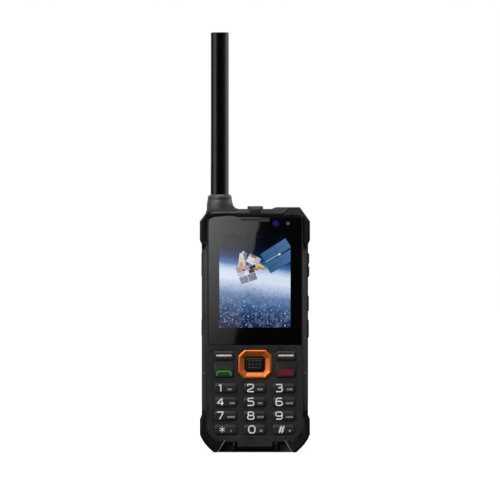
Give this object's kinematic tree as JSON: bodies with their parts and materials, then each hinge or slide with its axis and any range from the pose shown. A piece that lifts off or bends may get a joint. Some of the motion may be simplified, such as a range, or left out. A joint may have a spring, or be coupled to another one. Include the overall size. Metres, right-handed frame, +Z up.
{
  "type": "satellite phone",
  "caption": "Rugged bar-shaped satellite phone with a screw-in stick antenna, keypad, display, side keys, corner bumpers and a removable battery door.",
  "frame": {"origin": "middle of the bottom end, at mid thickness", "axes": "+Z up along the handset towards the antenna, +Y from the keypad to the battery door, +X to the right seen from the keypad side"},
  "size_m": [0.0568, 0.024, 0.217],
  "materials": {
    "case_plastic": "fine satin texture",
    "door_plastic": "fine satin texture",
    "bumper_rubber": "matt with light rub marks",
    "lens_glass": "polished, black border printed behind it",
    "screen": "lit display",
    "dark_mesh": "dark fine mesh",
    "keypad_plastic": "satin",
    "call_green": "satin with green mark",
    "end_red": "satin with red mark",
    "nav_orange": "glossy metallic lacquer",
    "antenna_plastic": "semi-gloss",
    "violet_window": "glossy violet filter",
    "camera_glass": "coated glass",
    "clear_lens": "clear moulded lens",
    "steel": "plain",
    "brass": "plain",
    "board_green": "solder mask",
    "battery_wrap": "wrapped",
    "seal_rubber": "silicone"
  },
  "bodies": {
    "handset": {"front_housing": "case_plastic", "rear_housing": "case_plastic", "bumper_top_left": "bumper_rubber", "bumper_top_right": "bumper_rubber", "bumper_bottom_left": "bumper_rubber", "bumper_bottom_right": "bumper_rubber", "cover_lens": "lens_glass", "display_module": "screen", "earpiece_mesh": "dark_mesh", "earpiece_receiver": "steel", "sensor_window": "violet_window", "front_camera": "camera_glass", "keypad_web": "keypad_plastic", "dome_sheet": "steel", "usb_port": "steel", "torch_bezel": "case_plastic", "torch_lens": "clear_lens", "battery": "battery_wrap", "door_seal": "seal_rubber", "case_screw_1": "steel", "case_screw_2": "steel", "case_screw_3": "steel", "case_screw_4": "steel", "main_board": "board_green", "shield_can": "steel", "loudspeaker": "steel", "rear_camera": "camera_glass", "flash_lens": "clear_lens"},
    "key_1_body": {"key_1": "keypad_plastic"},
    "key_2_body": {"key_2": "keypad_plastic"},
    "key_3_body": {"key_3": "keypad_plastic"},
    "key_4_body": {"key_4": "keypad_plastic"},
    "key_5_body": {"key_5": "keypad_plastic"},
    "key_6_body": {"key_6": "keypad_plastic"},
    "key_7_body": {"key_7": "keypad_plastic"},
    "key_8_body": {"key_8": "keypad_plastic"},
    "key_9_body": {"key_9": "keypad_plastic"},
    "key_star_body": {"key_star": "keypad_plastic"},
    "key_0_body": {"key_0": "keypad_plastic"},
    "key_hash_body": {"key_hash": "keypad_plastic"},
    "soft_key_left_body": {"soft_key_left": "keypad_plastic"},
    "soft_key_right_body": {"soft_key_right": "keypad_plastic"},
    "call_key_body": {"call_key": "call_green"},
    "end_key_body": {"end_key": "end_red"},
    "nav_actuator_body": {"nav_actuator": "keypad_plastic"},
    "nav_ring_body": {"nav_ring": "nav_orange"},
    "ok_key_body": {"ok_key": "keypad_plastic"},
    "volume_rocker_body": {"volume_rocker": "keypad_plastic"},
    "side_key_upper_body": {"side_key_upper": "keypad_plastic"},
    "side_key_lower_body": {"side_key_lower": "keypad_plastic"},
    "sos_key_body": {"sos_key": "nav_orange"},
    "port_cover_body": {"port_cover": "bumper_rubber"},
    "battery_door_body": {"battery_door": "door_plastic"},
    "door_screw_left_body": {"door_screw_left": "steel"},
    "door_screw_right_body": {"door_screw_right": "steel"},
    "antenna": {"antenna_sleeve": "antenna_plastic", "antenna_core": "brass", "antenna_stud": "brass", "antenna_collar": "antenna_plastic"}
  },
  "joints": [
    {"name": "key_1_press", "type": "slide", "parent": "handset", "child": "key_1_body", "axis": [0, 1, 0], "range_m": [0, 0.0005]},
    {"name": "key_2_press", "type": "slide", "parent": "handset", "child": "key_2_body", "axis": [0, 1, 0], "range_m": [0, 0.0005]},
    {"name": "key_3_press", "type": "slide", "parent": "handset", "child": "key_3_body", "axis": [0, 1, 0], "range_m": [0, 0.0005]},
    {"name": "key_4_press", "type": "slide", "parent": "handset", "child": "key_4_body", "axis": [0, 1, 0], "range_m": [0, 0.0005]},
    {"name": "key_5_press", "type": "slide", "parent": "handset", "child": "key_5_body", "axis": [0, 1, 0], "range_m": [0, 0.0005]},
    {"name": "key_6_press", "type": "slide", "parent": "handset", "child": "key_6_body", "axis": [0, 1, 0], "range_m": [0, 0.0005]},
    {"name": "key_7_press", "type": "slide", "parent": "handset", "child": "key_7_body", "axis": [0, 1, 0], "range_m": [0, 0.0005]},
    {"name": "key_8_press", "type": "slide", "parent": "handset", "child": "key_8_body", "axis": [0, 1, 0], "range_m": [0, 0.0005]},
    {"name": "key_9_press", "type": "slide", "parent": "handset", "child": "key_9_body", "axis": [0, 1, 0], "range_m": [0, 0.0005]},
    {"name": "key_star_press", "type": "slide", "parent": "handset", "child": "key_star_body", "axis": [0, 1, 0], "range_m": [0, 0.0005]},
    {"name": "key_0_press", "type": "slide", "parent": "handset", "child": "key_0_body", "axis": [0, 1, 0], "range_m": [0, 0.0005]},
    {"name": "key_hash_press", "type": "slide", "parent": "handset", "child": "key_hash_body", "axis": [0, 1, 0], "range_m": [0, 0.0005]},
    {"name": "soft_key_left_press", "type": "slide", "parent": "handset", "child": "soft_key_left_body", "axis": [0, 1, 0], "range_m": [0, 0.0005]},
    {"name": "soft_key_right_press", "type": "slide", "parent": "handset", "child": "soft_key_right_body", "axis": [0, 1, 0], "range_m": [0, 0.0005]},
    {"name": "call_key_press", "type": "slide", "parent": "handset", "child": "call_key_body", "axis": [0, 1, 0], "range_m": [0, 0.0005]},
    {"name": "end_key_press", "type": "slide", "parent": "handset", "child": "end_key_body", "axis": [0, 1, 0], "range_m": [0, 0.0005]},
    {"name": "nav_pitch", "type": "hinge", "parent": "handset", "child": "nav_actuator_body", "pos_m": [0, -0.0095, 0.0455], "axis": [1, 0, 0], "range_deg": [-2.5, 2.5]},
    {"name": "nav_rock", "type": "hinge", "parent": "nav_actuator_body", "child": "nav_ring_body", "pos_m": [0, -0.0095, 0.0455], "axis": [0, 0, 1], "range_deg": [-2.5, 2.5]},
    {"name": "ok_press", "type": "slide", "parent": "handset", "child": "ok_key_body", "axis": [0, 1, 0], "range_m": [0, 0.0005]},
    {"name": "volume_rock", "type": "hinge", "parent": "handset", "child": "volume_rocker_body", "pos_m": [0.02648, 0.001, 0.09665], "axis": [0, 1, 0], "range_deg": [-2, 2]},
    {"name": "side_upper_press", "type": "slide", "parent": "handset", "child": "side_key_upper_body", "axis": [-1, 0, 0], "range_m": [0, 0.0004]},
    {"name": "side_lower_press", "type": "slide", "parent": "handset", "child": "side_key_lower_body", "axis": [-1, 0, 0], "range_m": [0, 0.0004]},
    {"name": "sos_press", "type": "slide", "parent": "handset", "child": "sos_key_body", "axis": [1, 0, 0], "range_m": [0, 0.0004]},
    {"name": "port_cover_swing", "type": "hinge", "parent": "handset", "child": "port_cover_body", "pos_m": [-0.02768, 0.0045, 0.09685], "axis": [0, 0, -1], "range_deg": [0, 110]},
    {"name": "battery_door_lift", "type": "slide", "parent": "handset", "child": "battery_door_body", "axis": [0, 1, 0], "range_m": [0, 0.012]},
    {"name": "door_screw_left_turn", "type": "hinge", "parent": "battery_door_body", "child": "door_screw_left_body", "pos_m": [-0.017, 0.0115, 0.082], "axis": [0, 1, 0], "continuous": true},
    {"name": "door_screw_right_turn", "type": "hinge", "parent": "battery_door_body", "child": "door_screw_right_body", "pos_m": [0.017, 0.0115, 0.082], "axis": [0, 1, 0], "continuous": true},
    {"name": "antenna_turn", "type": "hinge", "parent": "handset", "child": "antenna", "pos_m": [-0.0182, 0.001, 0.131], "axis": [0, 0, 1], "continuous": true}
  ]
}
